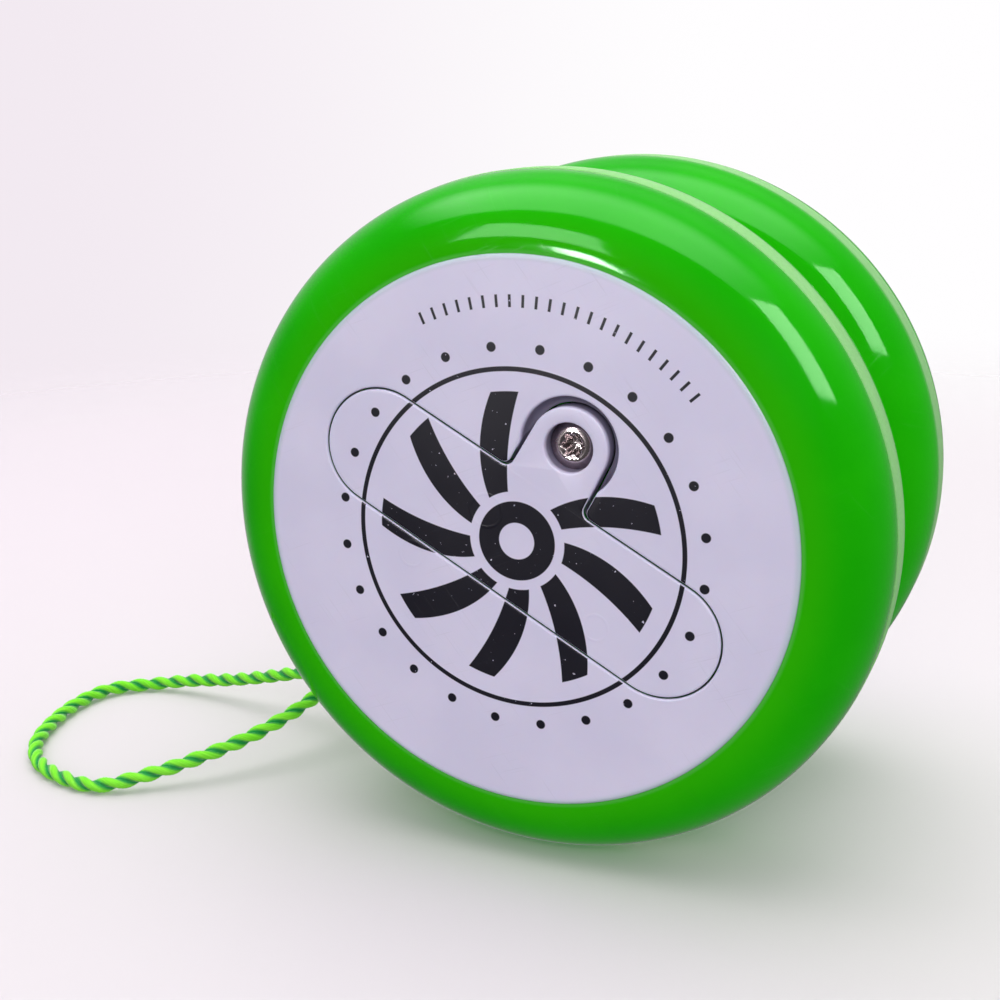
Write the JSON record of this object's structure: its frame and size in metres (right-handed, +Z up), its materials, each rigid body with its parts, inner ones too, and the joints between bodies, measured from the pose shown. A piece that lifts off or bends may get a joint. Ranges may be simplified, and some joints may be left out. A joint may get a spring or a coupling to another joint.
{
  "type": "yo-yo",
  "caption": "Light-up ball-bearing yo-yo: two round translucent halves on an axle, flat faces with battery doors, wound string with a finger loop.",
  "frame": {"origin": "middle of the yo-yo, on the axle half way between the two faces", "axes": "+Y along the axle from the front face to the rear face, +Z up, +X to the right seen from the front"},
  "size_m": [0.0869, 0.0421, 0.0585],
  "materials": {
    "green_shell": "glossy translucent green",
    "white_face": "satin pale lavender white",
    "tray": "dark green, moulded",
    "board": "lacquered green board",
    "lamp": "clear lens",
    "chip": "black resin",
    "response_pad": "matt soft ring",
    "brass": "plain brass",
    "string": "twisted polyester",
    "cell_steel": "bright can",
    "steel": "bright steel"
  },
  "bodies": {
    "string_side": {"bearing_outer_race": "steel", "string_winding": "string", "string_lead": "string", "string_knot": "string", "string_finger_loop": "string"},
    "ball_cage": {"bearing_cage": "brass", "bearing_ball_1": "steel", "bearing_ball_2": "steel", "bearing_ball_3": "steel", "bearing_ball_4": "steel", "bearing_ball_5": "steel", "bearing_ball_6": "steel", "bearing_ball_7": "steel"},
    "front_half": {"front_axle_nut": "steel", "front_battery_tray": "tray", "front_body_shell": "green_shell", "front_button_cell_1": "cell_steel", "front_button_cell_2": "cell_steel", "front_button_cell_3": "cell_steel", "front_contact_minus": "brass", "front_contact_plus": "brass", "front_face_disc": "white_face", "front_hub_spacer": "brass", "front_lamp_1": "lamp", "front_lamp_2": "lamp", "front_lamp_3": "lamp", "front_light_board": "board", "front_light_chip": "chip", "front_motion_switch": "steel", "front_response_pad": "response_pad", "axle": "steel", "bearing_inner_race": "steel"},
    "rear_half": {"rear_axle_nut": "steel", "rear_battery_tray": "tray", "rear_body_shell": "green_shell", "rear_button_cell_1": "cell_steel", "rear_button_cell_2": "cell_steel", "rear_button_cell_3": "cell_steel", "rear_contact_minus": "brass", "rear_contact_plus": "brass", "rear_face_disc": "white_face", "rear_hub_spacer": "brass", "rear_lamp_1": "lamp", "rear_lamp_2": "lamp", "rear_lamp_3": "lamp", "rear_light_board": "board", "rear_light_chip": "chip", "rear_motion_switch": "steel", "rear_response_pad": "response_pad"},
    "front_door": {"front_battery_door": "white_face"},
    "front_screw": {"front_door_screw": "steel"},
    "rear_door": {"rear_battery_door": "white_face"},
    "rear_screw": {"rear_door_screw": "steel"}
  },
  "joints": [
    {"name": "bearing_spin", "type": "hinge", "parent": "string_side", "child": "front_half", "pos_m": [0, 0, 0], "axis": [0, 1, 0], "continuous": true},
    {"name": "cage_spin", "type": "hinge", "parent": "string_side", "child": "ball_cage", "pos_m": [0, 0, 0], "axis": [0, 1, 0], "continuous": true},
    {"name": "rear_half_unscrew", "type": "slide", "parent": "front_half", "child": "rear_half", "axis": [0, 1, 0], "range_m": [0, 0.012]},
    {"name": "front_door_lift", "type": "slide", "parent": "front_half", "child": "front_door", "axis": [0, -1, 0], "range_m": [0, 0.012]},
    {"name": "front_screw_turn", "type": "hinge", "parent": "front_door", "child": "front_screw", "pos_m": [0.00443, -0.0174, 0.00812], "axis": [0, -1, 0], "continuous": true},
    {"name": "rear_door_lift", "type": "slide", "parent": "rear_half", "child": "rear_door", "axis": [0, 1, 0], "range_m": [0, 0.012]},
    {"name": "rear_screw_turn", "type": "hinge", "parent": "rear_door", "child": "rear_screw", "pos_m": [-0.00443, 0.0174, 0.00812], "axis": [0, 1, 0], "continuous": true}
  ],
  "couplings": [
    {"joint": "cage_spin", "follows": "bearing_spin", "ratio": 0.39606}
  ]
}
